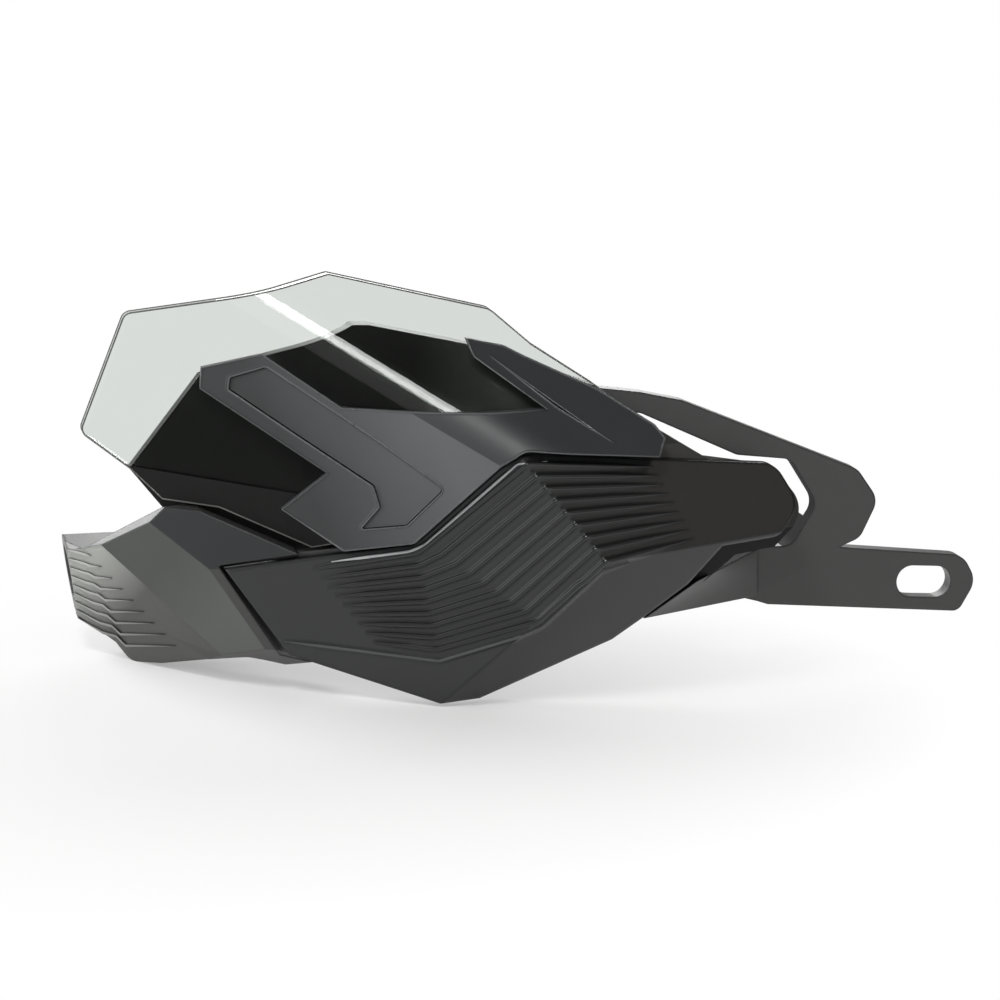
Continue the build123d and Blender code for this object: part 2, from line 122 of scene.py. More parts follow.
class Graph:
    """Node tree of one material or of the world."""

    def __init__(self, tree: bpy.types.NodeTree) -> None:
        """Empty the tree.

        Args:
            tree: the tree to fill.
        """
        self.tree = tree
        self.tree.nodes.clear()

    def add(
        self,
        kind: str,
        settings: dict[str, object] | None = None,
        inputs: dict[str | int, object] | None = None,
        output: str | int | None = None,
    ) -> Wire:
        """Add one node.

        Args:
            kind: the node's type.
            settings: its settings, where stops are a ramp's positions and greys.
            inputs: values or wires of its sockets.
            output: the socket to hand back, the first one if none is named.

        Returns:
            A wire from that socket.
        """
        node = self.tree.nodes.new(kind)
        for name, value in (settings or {}).items():
            if name == "stops":
                self.set_stops(node, value)
            else:
                setattr(node, name, value)
        for name, value in (inputs or {}).items():
            socket = node.inputs[name]
            if isinstance(value, Wire):
                self.tree.links.new(value.socket, socket)
            else:
                socket.default_value = value
        if not node.outputs:
            return Wire(self, None)
        return Wire(self, node.outputs[0 if output is None else output])

    def set_stops(self, node: bpy.types.Node, stops: Path) -> None:
        """Give a colour ramp its stops.

        Args:
            node: the ramp.
            stops: positions and greys, in rising order.
        """
        ramp = node.color_ramp
        while len(ramp.elements) > 1:
            ramp.elements.remove(ramp.elements[-1])
        for index, (position, grey) in enumerate(stops):
            element = ramp.elements[0] if index == 0 else ramp.elements.new(position)
            element.position = position
            element.color = (grey, grey, grey, 1)

    def noise(self, size: float, detail: float = 3.0, stretch: Point = (1, 1, 1)) -> Wire:
        """Noise on the piece's own coordinates.

        Args:
            size: size of one speck in metres.
            detail: octaves of finer noise.
            stretch: how much shorter the specks are along each axis.

        Returns:
            A value from about 0 to 1.
        """
        place = self.add("ShaderNodeTexCoord", output="Object")
        turned = self.add("ShaderNodeMapping", {}, {"Vector": place, "Scale": stretch})
        inputs = {"Vector": turned, "Scale": 1 / size, "Detail": detail}
        return self.add("ShaderNodeTexNoise", {}, inputs, "Fac")

    def vector(self, operation: str, inputs: dict[str | int, object], output: str | int = 0) -> Wire:
        """Add a Vector Math node.

        Args:
            operation: name of the node's operation.
            inputs: values or wires of its sockets.
            output: the socket to hand back.

        Returns:
            A wire from that socket.
        """
        return self.add("ShaderNodeVectorMath", {"operation": operation}, inputs, output)

    def ramp(self, value: Wire, span: Span, tones: Span) -> Wire:
        """Run evenly from one tone to another while a value crosses a span.

        Args:
            value: the value.
            span: where the run starts and ends.
            tones: the tones there, which hold beyond both ends.

        Returns:
            The tone.
        """
        inputs = {0: value, 1: span[0], 2: span[1], 3: tones[0], 4: tones[1]}
        return self.add("ShaderNodeMapRange", {}, inputs, 0)

    def blend(self, share: Wire, first: Colour, second: Colour) -> Wire:
        """Mix two colours.

        Args:
            share: 0 for the first, 1 for the second.
            first: colour at 0.
            second: colour at 1.

        Returns:
            The mixed colour.
        """
        inputs = {0: share, 6: (*first, 1), 7: (*second, 1)}
        return self.add("ShaderNodeMix", {"data_type": "RGBA"}, inputs, 2)

    def bump(self, height: Wire, depth: float, edge_radius: float) -> Wire:
        """Turn a height into a normal, on edges that are rounded off.

        Args:
            height: value from 0 to 1.
            depth: height of 1 in metres.
            edge_radius: radius of the rounded edges in metres.

        Returns:
            The normal.
        """
        rounded = self.add("ShaderNodeBevel", {"samples": EDGE_SAMPLES}, {"Radius": edge_radius}, "Normal")
        inputs = {"Height": height, "Distance": depth, "Normal": rounded}
        return self.add("ShaderNodeBump", {}, inputs, "Normal")


def new_material(name: str) -> tuple[bpy.types.Material, Graph]:
    """Make an empty node material.

    Args:
        name: the material's name.

    Returns:
        The material and its graph.
    """
    material = bpy.data.materials.new(name)
    material.use_nodes = True
    return material, Graph(material.node_tree)


def scaled(colour: Colour, factor: float) -> Colour:
    """A colour times a number."""
    return tuple(part * factor for part in colour)


@dataclass(frozen=True)
class PaintedLightFade:
    """A painted light gradient: a tone that changes along one direction, with two places on it in metres
    and the tone at each.
    """

    way: Point
    start: float
    end: float
    tones: Span

    def tone(self, graph: Graph) -> Wire:
        """Build the tone on the piece's own coordinates.

        Args:
            graph: the material's graph.

        Returns:
            The tone.
        """
        place = graph.add("ShaderNodeTexCoord", output="Object")
        along = graph.vector("DOT_PRODUCT", {0: place, 1: self.way}, "Value")
        return graph.ramp(along, (self.start, self.end), self.tones)


@dataclass(frozen=True)
class Grain:
    """Fine relief of a moulded surface: the size of one speck and its depth, in metres."""

    size: float
    depth: float


@dataclass(frozen=True)
class MouldedPlastic:
    """Injection-moulded plastic with a fine grain and faint clouding, and in some finishes painted light
    that changes its colour along one direction.
    """

    name: str
    colour: Colour
    roughness: float
    grain: Grain
    clouding: float = 0.12
    sheen_spread: float = 0.05
    specular: float = 0.5
    edge_radius: float = 0.5 * MM
    painted_light: PaintedLightFade | None = None
    cloud_size: float = 30 * MM
    scuff_size: float = 4 * MM
    scuff_detail: float = 4.0
    scuff_stretch: Point = (1, 3, 1)

    def shade(self, graph: Graph, cloud: Wire) -> Wire:
        """Cloud the colour, and multiply it across the piece by the painted light gradient where one is
        given.

        Args:
            graph: the material's graph.
            cloud: noise of the clouding.

        Returns:
            The colour.
        """
        low, high = scaled(self.colour, 1 - self.clouding), scaled(self.colour, 1 + self.clouding)
        colour = graph.blend(cloud, low, high)
        if self.painted_light is None:
            return colour
        return graph.vector("SCALE", {0: colour, 3: self.painted_light.tone(graph)})

    def material(self) -> bpy.types.Material:
        """Build the finish.

        Returns:
            The material.
        """
        material, graph = new_material(self.name)
        cloud = graph.noise(self.cloud_size)
        scuff = graph.noise(self.scuff_size, self.scuff_detail, self.scuff_stretch)
        worn = self.roughness + (scuff - NOISE_MIDDLE) * self.sheen_spread
        shader = graph.add(
            "ShaderNodeBsdfPrincipled",
            {},
            {
                "Base Color": self.shade(graph, cloud),
                "Roughness": worn + (cloud - NOISE_MIDDLE) * self.sheen_spread,
                "Specular IOR Level": self.specular,
                "Normal": graph.bump(graph.noise(self.grain.size), self.grain.depth, self.edge_radius),
            },
        )
        graph.add("ShaderNodeOutputMaterial", {}, {"Surface": shader})
        return material


@dataclass(frozen=True)
class ClearSheet:
    """Clear polycarbonate with a faint tint."""

    name: str
    tint: Colour
    roughness: float
    refraction: float = 1.38
    haze_size: float = 12 * MM
    haze_tone: float = 0.985
    haze_spread: float = 0.01

    def material(self) -> bpy.types.Material:
        """Build the finish, which lets light through to what lies in its shadow.

        Returns:
            The material.
        """
        material, graph = new_material(self.name)
        haze = graph.noise(self.haze_size)
        body = graph.add(
            "ShaderNodeBsdfPrincipled",
            {},
            {
                "Base Color": graph.blend(haze, scaled(self.tint, self.haze_tone), self.tint),
                "Roughness": self.roughness + haze * self.haze_spread,
                "IOR": self.refraction,
                "Transmission Weight": 1.0,
            },
        )
        clear = graph.add("ShaderNodeBsdfTransparent", {}, {"Color": (*self.tint, 1)})
        shadow = graph.add("ShaderNodeLightPath", output="Is Shadow Ray")
        mixed = graph.add("ShaderNodeMixShader", {}, {0: shadow, 1: body, 2: clear})
        graph.add("ShaderNodeOutputMaterial", {}, {"Surface": mixed})
        return material


@dataclass(frozen=True)
class TurnedMetal:
    """Metal with fine marks of the tool."""

    name: str
    colour: Colour
    roughness: float
    mark_size: float = 0.6 * MM
    mark_detail: float = 2.0
    mark_stretch: Point = (6, 1, 1)
    mark_spread: float = 0.16
    mark_depth: float = 0.01 * MM
    cloud_size: float = 6 * MM
    cloud_tone: float = 0.86
    edge_radius: float = 0.15 * MM

    def material(self) -> bpy.types.Material:
        """Build the finish.

        Returns:
            The material.
        """
        material, graph = new_material(self.name)
        marks = graph.noise(self.mark_size, self.mark_detail, self.mark_stretch)
        cloud = graph.noise(self.cloud_size)
        shader = graph.add(
            "ShaderNodeBsdfPrincipled",
            {},
            {
                "Base Color": graph.blend(cloud, scaled(self.colour, self.cloud_tone), self.colour),
                "Metallic": 1.0,
                "Roughness": self.roughness + (marks - NOISE_MIDDLE) * self.mark_spread,
                "Normal": graph.bump(marks, self.mark_depth, self.edge_radius),
            },
        )
        graph.add("ShaderNodeOutputMaterial", {}, {"Surface": shader})
        return material


NYLON_GRAIN = Grain(0.45 * MM, 0.014 * MM)
LUG_RIB_GRAIN = Grain(0.45 * MM, 0.010 * MM)
WING_GRAIN = Grain(0.60 * MM, 0.010 * MM)
COVER_GRAIN = Grain(0.40 * MM, 0.012 * MM)
GLOSS_GRAIN = Grain(1.00 * MM, 0.004 * MM)
POLISHED_GRAIN = Grain(1.00 * MM, 0.002 * MM)
RUBBER_GRAIN = Grain(0.50 * MM, 0.020 * MM)
# Directions along which the painted light gradients run.
UP_THE_LUG = (-0.661, 0.291, 0.691)
DOWN_THE_CHEEK = (0.661, -0.291, -0.691)
ALONG_THE_WING = (0.978, -0.208, 0.0)
ALONG_THE_COVER = (0.888, -0.091, 0.452)


class Finish(Enum):
    """The finishes of the guard; several paint light and shade into their colour."""

    FRAME = MouldedPlastic(
        "satin_black_nylon", (0.048, 0.0488, 0.0474), 0.38, NYLON_GRAIN, edge_radius=0.9 * MM,
    )
    # Painted light: a greyer copy of the frame's nylon, brighter by up to six times towards the top of the
    # lug, where the light falls.
    LUG = MouldedPlastic(
        "satin_nylon_painted_light", (0.056, 0.0576, 0.0534), 0.40, NYLON_GRAIN, edge_radius=3.0 * MM,
        painted_light=PaintedLightFade(UP_THE_LUG, -20 * MM, -2 * MM, (1.1, 6.2)),
    )
    # Painted highlight: the tops of the lug's ribs in light grey, brighter towards the top of the lug.
    LUG_RIB = MouldedPlastic(
        "nylon_rib_painted_highlight", (0.26, 0.2635, 0.253), 0.36, LUG_RIB_GRAIN, edge_radius=0.2 * MM,
        painted_light=PaintedLightFade(UP_THE_LUG, -20 * MM, -2 * MM, (0.8, 1.7)),
    )
    # Olive nylon with painted light: brighter by up to 1.6 times towards the cheek's lower end.
    CHEEK = MouldedPlastic(
        "satin_olive_nylon_painted_light", (0.052, 0.0555, 0.0500), 0.38, NYLON_GRAIN, edge_radius=0.9 * MM,
        painted_light=PaintedLightFade(DOWN_THE_CHEEK, 19 * MM, 39.5 * MM, (1.05, 1.6)),
    )
    # Painted shade: the shoulder in a darker copy of the frame's nylon, as it faces away from the light.
    SHOULDER = MouldedPlastic(
        "satin_nylon_painted_shade", (0.022, 0.0232, 0.0245), 0.36, NYLON_GRAIN, edge_radius=0.9 * MM,
    )
    # Matt black nylon with painted light: brighter by up to nine times towards the wing's right end.
    WING = MouldedPlastic(
        "matt_black_nylon_painted_light", (0.006, 0.006, 0.0058), 0.46, WING_GRAIN,
        clouding=0.5, sheen_spread=0.12, specular=0.18,
        painted_light=PaintedLightFade(ALONG_THE_WING, 99 * MM, 127 * MM, (1.0, 9.0)),
    )
    # Painted shade: a dark, dull copy of the nylon for the faces in the slit.
    SLIT_SHADE = MouldedPlastic("nylon_painted_shade", (0.024, 0.024, 0.025), 0.6, WING_GRAIN, specular=0.04)
    BAND = MouldedPlastic(
        "gloss_black_plastic", (0.016, 0.0166, 0.0170), 0.15, GLOSS_GRAIN, edge_radius=1.4 * MM,
    )
    RIB = MouldedPlastic(
        "gloss_black_rib", (0.016, 0.0166, 0.0170), 0.16, POLISHED_GRAIN, edge_radius=0.1 * MM,
    )
    # Painted highlight: a pale grey bead along the band's top edge, in place of the shine on that edge.
    CROWN = MouldedPlastic("crown_painted_highlight", (0.46, 0.47, 0.48), 0.10, POLISHED_GRAIN, edge_radius=0.1 * MM)
    # Painted highlight: the border rib in a lighter black than the band.
    BORDER = MouldedPlastic(
        "border_painted_highlight", (0.066, 0.068, 0.069), 0.20, POLISHED_GRAIN, edge_radius=0.1 * MM,
    )
    COVER = MouldedPlastic("satin_charcoal_plastic", (0.044, 0.0465, 0.048), 0.42, COVER_GRAIN)
    # Painted sheen: the cover's front face, darker at its left end and brighter by up to 2.6 times towards
    # the fold.
    COVER_FACE_SHEEN = MouldedPlastic(
        "satin_charcoal_painted_sheen", (0.044, 0.0465, 0.048), 0.42, COVER_GRAIN,
        painted_light=PaintedLightFade(ALONG_THE_COVER, 73 * MM, 111 * MM, (0.65, 2.6)),
    )
    # Painted highlight: the cover's rolled edges in a lighter charcoal.
    COVER_EDGE_HIGHLIGHT = MouldedPlastic(
        "charcoal_edge_painted_highlight", (0.095, 0.099, 0.102), 0.28, POLISHED_GRAIN, edge_radius=0.05 * MM,
    )
    # Painted shade: near-black beads at the foot of the cover panel's border.
    SEAM = MouldedPlastic(
        "painted_shade_line", (0.004, 0.004, 0.004), 0.6, POLISHED_GRAIN, specular=0.0, edge_radius=0.05 * MM,
    )
    # Painted shade: grey beads along the clear sheet's edges, for the dark lines that the light makes
    # there.
    SCREEN_EDGE_SHADE = MouldedPlastic(
        "screen_edge_painted_shade", (0.10, 0.107, 0.10), 0.22, POLISHED_GRAIN, edge_radius=0.05 * MM,
    )
    SCREEN = ClearSheet("clear_polycarbonate", (0.728, 0.758, 0.728), 0.006)
    STEEL = TurnedMetal("plated_steel", (0.52, 0.52, 0.53), 0.32)
    BRASS = TurnedMetal("turned_brass", (0.70, 0.52, 0.24), 0.30)
    RUBBER = MouldedPlastic("matt_rubber", (0.02, 0.02, 0.02), 0.62, RUBBER_GRAIN)


MATERIALS: dict[Finish, bpy.types.Material] = {}


def finish_material(finish: Finish) -> bpy.types.Material:
    """Hand out one shared material for each finish.

    Args:
        finish: the finish.

    Returns:
        Its material.
    """
    if finish not in MATERIALS:
        MATERIALS[finish] = finish.value.material()
    return MATERIALS[finish]


def select_only(piece: bpy.types.Object) -> None:
    """Make one object the selected and active one.

    Args:
        piece: the object.
    """
    bpy.ops.object.select_all(action="DESELECT")
    piece.select_set(True)
    bpy.context.view_layer.objects.active = piece


def join_into(piece: bpy.types.Object, parts: list[bpy.types.Object]) -> None:
    """Join other mesh objects into one piece.

    Args:
        piece: the object that stays.
        parts: the objects that become part of it.
    """
    select_only(piece)
    for part in parts:
        part.select_set(True)
    bpy.ops.object.join()


@dataclass(frozen=True)
class Facet:
    """One outer plane of the guard: a point in millimetres, and two angles in degrees."""

    point: Point
    yaw: float
    pitch: float

    def origin(self) -> Vector:
        """The point in metres."""
        return Vector(self.point) * MM

    def normal(self) -> Vector:
        """The direction that the plane faces."""
        turn, lean = radians(self.yaw), radians(self.pitch)
        return Vector((sin(turn) * cos(lean), -cos(turn) * cos(lean), sin(lean)))

    def depth_of(self, place: Vector) -> float:
        """How far a point lies behind the plane, in metres."""
        return (self.origin() - place).dot(self.normal())

    def depth_at(self, x: float, z: float) -> float:
        """The y of the plane's point in front of x and z, all in metres."""
        start, way = self.origin(), self.normal()
        return start.y - (way.x * (x - start.x) + way.z * (z - start.z)) / way.y


SCREEN_OUTER = Facet((98.0, -82.6, 33.9), -31.5, 10.0)
SCREEN_INNER = Facet((95.1, -75.8, 58.0), 5.5, 54.0)
SCREEN_HEM = Facet((31.7, -41.7, 33.1), -32.5, -2.0)
BAND_OUTER = Facet((90.5, -84.0, -21.0), -27.5, 5.0)
BAND_INNER = Facet((132.0, -101.7, 19.8), 6.0, 30.0)
BAND_LIP = Facet((132.0, -101.7, 19.8), 11.5, -31.5)
LUG_RIBBED = Facet((5.5, -26.3, 13.7), -52.0, -19.2)
LUG_CHEEK = Facet((20.4, -39.2, 8.7), -42.5, -6.9)
LUG_SHOULDER = Facet((28.3, -45.1, 21.0), -29.2, 15.7)


@dataclass
class Moulding:
    """A piece that takes its form from one solid and gets soft edges and a finish."""

    node: str
    slot: str
    finish: Finish
    smooth_angle: float = 18.0
    crease_angle: float = 9.0
    crease_area: float = 40.0 * MM**2
    flat_angle: float = 0.5
    merge_distance: float = 0.002 * MM

    def copy_solid(self) -> bpy.types.Object:
        """Copy the solid's mesh and join its loose triangles.

        Returns:
            The copy.
        """
        select_only(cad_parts[self.node])
        bpy.ops.object.duplicate()
        piece = bpy.context.view_layer.objects.active
        piece.name = f"{self.node}_finished"
        piece.data.name = piece.name
        piece.data.materials.clear()
        bpy.ops.mesh.customdata_custom_splitnormals_clear()
        bpy.ops.object.mode_set(mode="EDIT")
        bpy.ops.mesh.select_all(action="SELECT")
        bpy.ops.mesh.remove_doubles(threshold=self.merge_distance)
        bpy.ops.object.mode_set(mode="OBJECT")
        return piece

    def flat_regions(self, mesh: bmesh.types.BMesh) -> dict[bmesh.types.BMFace, float]:
        """Group the faces that lie in one plane.

        Args:
            mesh: the piece's mesh.

        Returns:
            The area of each face's group.
        """
        areas: dict[bmesh.types.BMFace, float] = {}
        level = radians(self.flat_angle)
        for seed in mesh.faces:
            if seed in areas:
                continue
            group, queue = {seed}, [seed]
            while queue:
                face = queue.pop()
                for edge in face.edges:
                    for other in edge.link_faces:
                        if other not in group and face.normal.angle(other.normal, 0.0) < level:
                            group.add(other)
                            queue.append(other)
            area = sum(face.calc_area() for face in group)
            areas.update({face: area for face in group})
        return areas

    def soften(self, piece: bpy.types.Object) -> None:
        """Smooth the curved faces and keep the creases between flat ones.

        Args:
            piece: the copied solid.
        """
        select_only(piece)
        bpy.ops.object.shade_smooth_by_angle(angle=radians(self.smooth_angle))
        mesh = bmesh.new()
        mesh.from_mesh(piece.data)
        areas = self.flat_regions(mesh)
        for edge in mesh.edges:
            sides = edge.link_faces
            turn = edge.calc_face_angle(0.0)
            if turn > radians(self.crease_angle) and min(areas[face] for face in sides) > self.crease_area:
                edge.smooth = False
        mesh.to_mesh(piece.data)
        mesh.free()

    def finish_of(self, face: bpy.types.MeshPolygon) -> Finish:
        """Choose the finish of one face."""
        return self.finish

    def dress(self, piece: bpy.types.Object) -> None:
        """Give each face of the piece its finish.

        Args:
            piece: the softened piece.
        """
        slots: dict[Finish, int] = {}
        for face in piece.data.polygons:
            finish = self.finish_of(face)
            if finish not in slots:
                slots[finish] = len(slots)
                piece.data.materials.append(finish_material(finish))
            face.material_index = slots[finish]

    def build(self) -> bpy.types.Object:
        """Make the finished piece in place of its solid.

        Returns:
            The piece.
        """
        piece = self.copy_solid()
        self.soften(piece)
        self.dress(piece)
        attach(piece, BODY)
        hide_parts(self.node)
        LOG.info("%s: %d faces", piece.name, len(piece.data.polygons))
        return piece


def is_wall(face: bpy.types.MeshPolygon | bmesh.types.BMFace) -> bool:
    """Tell whether a face runs straight back, as the sides of every piece do."""
    return abs(face.normal.y) < WALL_LEAN


def edge_lines(
    piece: bpy.types.Object, finish: Finish, radius: float, chosen: Callable[[bmesh.types.BMEdge], bool]
) -> bpy.types.Object:
    """Make round beads along edges between a wall of a piece and another face.

    Args:
        piece: the piece.
        finish: finish of the beads.
        radius: their radius in metres.
        chosen: tells which of these edges get one.

    Returns:
        The beads as one mesh object.
    """
    select_only(piece)
    bpy.ops.object.duplicate()
    lines = bpy.context.view_layer.objects.active
    mesh = bmesh.new()
    mesh.from_mesh(lines.data)
    kept = set()
    for edge in mesh.edges:
        walls = sorted(is_wall(face) for face in edge.link_faces)
        if walls == [False, True] and chosen(edge):
            kept.add(edge)
    bmesh.ops.delete(mesh, geom=mesh.faces[:], context="FACES_ONLY")
    bmesh.ops.delete(mesh, geom=[edge for edge in mesh.edges if edge not in kept], context="EDGES")
    bmesh.ops.delete(mesh, geom=[knot for knot in mesh.verts if not knot.link_edges], context="VERTS")
    mesh.to_mesh(lines.data)
    mesh.free()
    select_only(lines)
    bpy.ops.object.convert(target="CURVE")
    lines = bpy.context.view_layer.objects.active
    lines.data.dimensions = "3D"
    lines.data.bevel_depth = radius
    lines.data.bevel_resolution = BEAD_ROUNDNESS
    lines.data.use_fill_caps = True
    bpy.ops.object.convert(target="MESH")
    lines = bpy.context.view_layer.objects.active
    bpy.ops.object.shade_smooth()
    lines.data.materials.clear()
    lines.data.materials.append(finish_material(finish))
    return lines


def front_side(edge: bmesh.types.BMEdge) -> bmesh.types.BMFace | None:
    """The face beside an edge that looks to the front, if there is one."""
    return next((face for face in edge.link_faces if face.normal.y < FRONT_LEAN), None)


def faces_inboard(edge: bmesh.types.BMEdge) -> bool:
    """Tell whether the wall beside an edge faces inboard, away from the light."""
    return any(is_wall(face) and face.normal.x > INBOARD_LEAN for face in edge.link_faces)


def within(value: float, span: Span) -> bool:
    """Tell whether a value lies inside a span."""
    return span[0] < value < span[1]


@dataclass
class UpperCover(Moulding):
    """The satin cover, with rolled edges in a lighter colour as painted highlights, and near-black beads of
    painted shade at the foot of its panel's border, wider on the shaded side.
    """

    edge_radius: float = 0.26 * MM
    shade_line_radius: float = 0.34 * MM
    deep_shade_line_radius: float = 0.62 * MM
    face_facing: float = 0.995

    def on_rim(self, edge: bmesh.types.BMEdge) -> bool:
        """Tell whether an edge is an outer corner of the front."""
        return front_side(edge) is not None and edge.is_convex

    def in_shade_line(self, edge: bmesh.types.BMEdge) -> bool:
        """Tell whether an edge lies at the foot of the panel's border, on its lit side, where a thin line
        of painted shade goes.
        """
        return front_side(edge) is not None and not edge.is_convex and not faces_inboard(edge)

    def in_deep_shade_line(self, edge: bmesh.types.BMEdge) -> bool:
        """Tell whether an edge lies at the foot of the panel's border, on its shaded side, where a wide
        line of painted shade goes.
        """
        return front_side(edge) is not None and not edge.is_convex and faces_inboard(edge)

    def finish_of(self, face: bpy.types.MeshPolygon) -> Finish:
        """Choose the finish of one face."""
        outer = face.normal.dot(SCREEN_OUTER.normal()) > self.face_facing
        # The front face gets the painted sheen.
        return Finish.COVER_FACE_SHEEN if outer else self.finish

    def dress(self, piece: bpy.types.Object) -> None:
        """Finish the cover and add its edges, in a lighter colour as painted highlights, and its lines of
        painted shade.

        Args:
            piece: the cover.
        """
        # The rims take a lighter colour as painted highlights; the lines at the panel's foot are near-black
        # painted shade.
        lines = [
            edge_lines(piece, Finish.COVER_EDGE_HIGHLIGHT, self.edge_radius, self.on_rim),
            edge_lines(piece, Finish.SEAM, self.shade_line_radius, self.in_shade_line),
            edge_lines(piece, Finish.SEAM, self.deep_shade_line_radius, self.in_deep_shade_line),
        ]
        super().dress(piece)
        join_into(piece, lines)


@dataclass
class GuardFrame(Moulding):
    """The structural moulding: deep black behind the screen, with painted light towards the wing's right
    end; painted shade in the slit and on the shoulder; greyer at the lug and cheek with painted light.
    """

    wing_depths: Span = (2.9 * MM, 4.7 * MM)
    bend_foot: float = 28.0 * MM
    bend_facing: float = 0.85
    flat_facing: float = 0.99
    shoulder_facing: float = 0.996
    rim_facing: float = -0.5
    slit_depth: float = 1.5 * MM
    slit_span: Span = (155 * MM, 202 * MM)
    slit_heights: Span = (4 * MM, 46 * MM)
    slit_facing: float = -0.05
    spur_span: Span = (45 * MM, 65 * MM)
    spur_facing: float = 0.5
    lug_reach: float = 30 * MM
    rib_rise: float = 0.3 * MM
    cheek_reach: float = 62 * MM

    def on_wing(self, face: bpy.types.MeshPolygon) -> bool:
        """Tell whether a face lies just behind the screen.

        Args:
            face: the face.

        Returns:
            True for the front of the wing.
        """
        facets = (SCREEN_OUTER, SCREEN_INNER, SCREEN_HEM)
        depth = min(facet.depth_of(face.center) for facet in facets)
        facing = max(face.normal.dot(facet.normal()) for facet in facets)
        level = self.bend_facing if face.center.z > self.bend_foot else self.flat_facing
        return facing > level and within(depth, self.wing_depths)

    def in_slit(self, face: bpy.types.MeshPolygon) -> bool:
        """Tell whether a face lies in the slit, the gap behind the band's end or the spur's joint.

        Args:
            face: the face.

        Returns:
            True for a face that lies in deep shade, which gets a dark colour as painted shade.
        """
        if face.normal.dot(BAND_LIP.normal()) > self.flat_facing:
            return BAND_LIP.depth_of(face.center) > self.slit_depth
        if not is_wall(face):
            return False
        if within(face.center.x, self.spur_span) and face.center.z < 0:
            return face.normal.z > self.spur_facing
        inside = within(face.center.x, self.slit_span) and within(face.center.z, self.slit_heights)
        return inside and face.normal.x < self.slit_facing

    def faces_as(self, face: bpy.types.MeshPolygon, facet: Facet, level: float) -> bool:
        """Tell whether a face looks the same way as a facet of the lug."""
        return face.center.x < self.cheek_reach and face.normal.dot(facet.normal()) > level

    def finish_of(self, face: bpy.types.MeshPolygon) -> Finish:
        """Choose the finish of one face.

        Args:
            face: the face.

        Returns:
            Its finish.
        """
        # The wing gets matt black, with painted light towards its right end.
        if self.on_wing(face):
            return Finish.WING
        # Faces in the slit get a dark colour as painted shade.
        if self.in_slit(face):
            return Finish.SLIT_SHADE
        if is_wall(face) and face.center.z > self.bend_foot and face.normal.x < self.rim_facing:
            return Finish.BAND
        # The lug's faces get painted light, and its rib tops a lighter colour as painted highlights.
        if face.center.x < self.lug_reach and self.faces_as(face, LUG_RIBBED, self.flat_facing):
            return Finish.LUG_RIB if LUG_RIBBED.depth_of(face.center) < -self.rib_rise else Finish.LUG
        # The cheek gets painted light.
        if self.faces_as(face, LUG_CHEEK, self.flat_facing):
            return Finish.CHEEK
        # The shoulder gets painted shade.
        if self.faces_as(face, LUG_SHOULDER, self.shoulder_facing):
            return Finish.SHOULDER
        return self.finish


@dataclass
class WindScreen(Moulding):
    """The clear screen, with its hem blacked out and grey beads along its edges as painted shade."""

    edge_radius: float = 0.24 * MM
    hem_facing: float = 0.9995
    hem_depth: float = 0.05 * MM

    def finish_of(self, face: bpy.types.MeshPolygon) -> Finish:
        """Choose the finish of one face.

        Args:
            face: the face.

        Returns:
            Its finish.
        """
        level = face.normal.dot(SCREEN_HEM.normal()) > self.hem_facing
        if level and abs(SCREEN_HEM.depth_of(face.center)) < self.hem_depth:
            return Finish.WING
        return self.finish

    def dress(self, piece: bpy.types.Object) -> None:
        """Finish the sheet and add grey beads on its edges as painted shade.

        Args:
            piece: the screen.
        """
        lines = edge_lines(piece, Finish.SCREEN_EDGE_SHADE, self.edge_radius, lambda edge: True)
        super().dress(piece)
        join_into(piece, [lines])


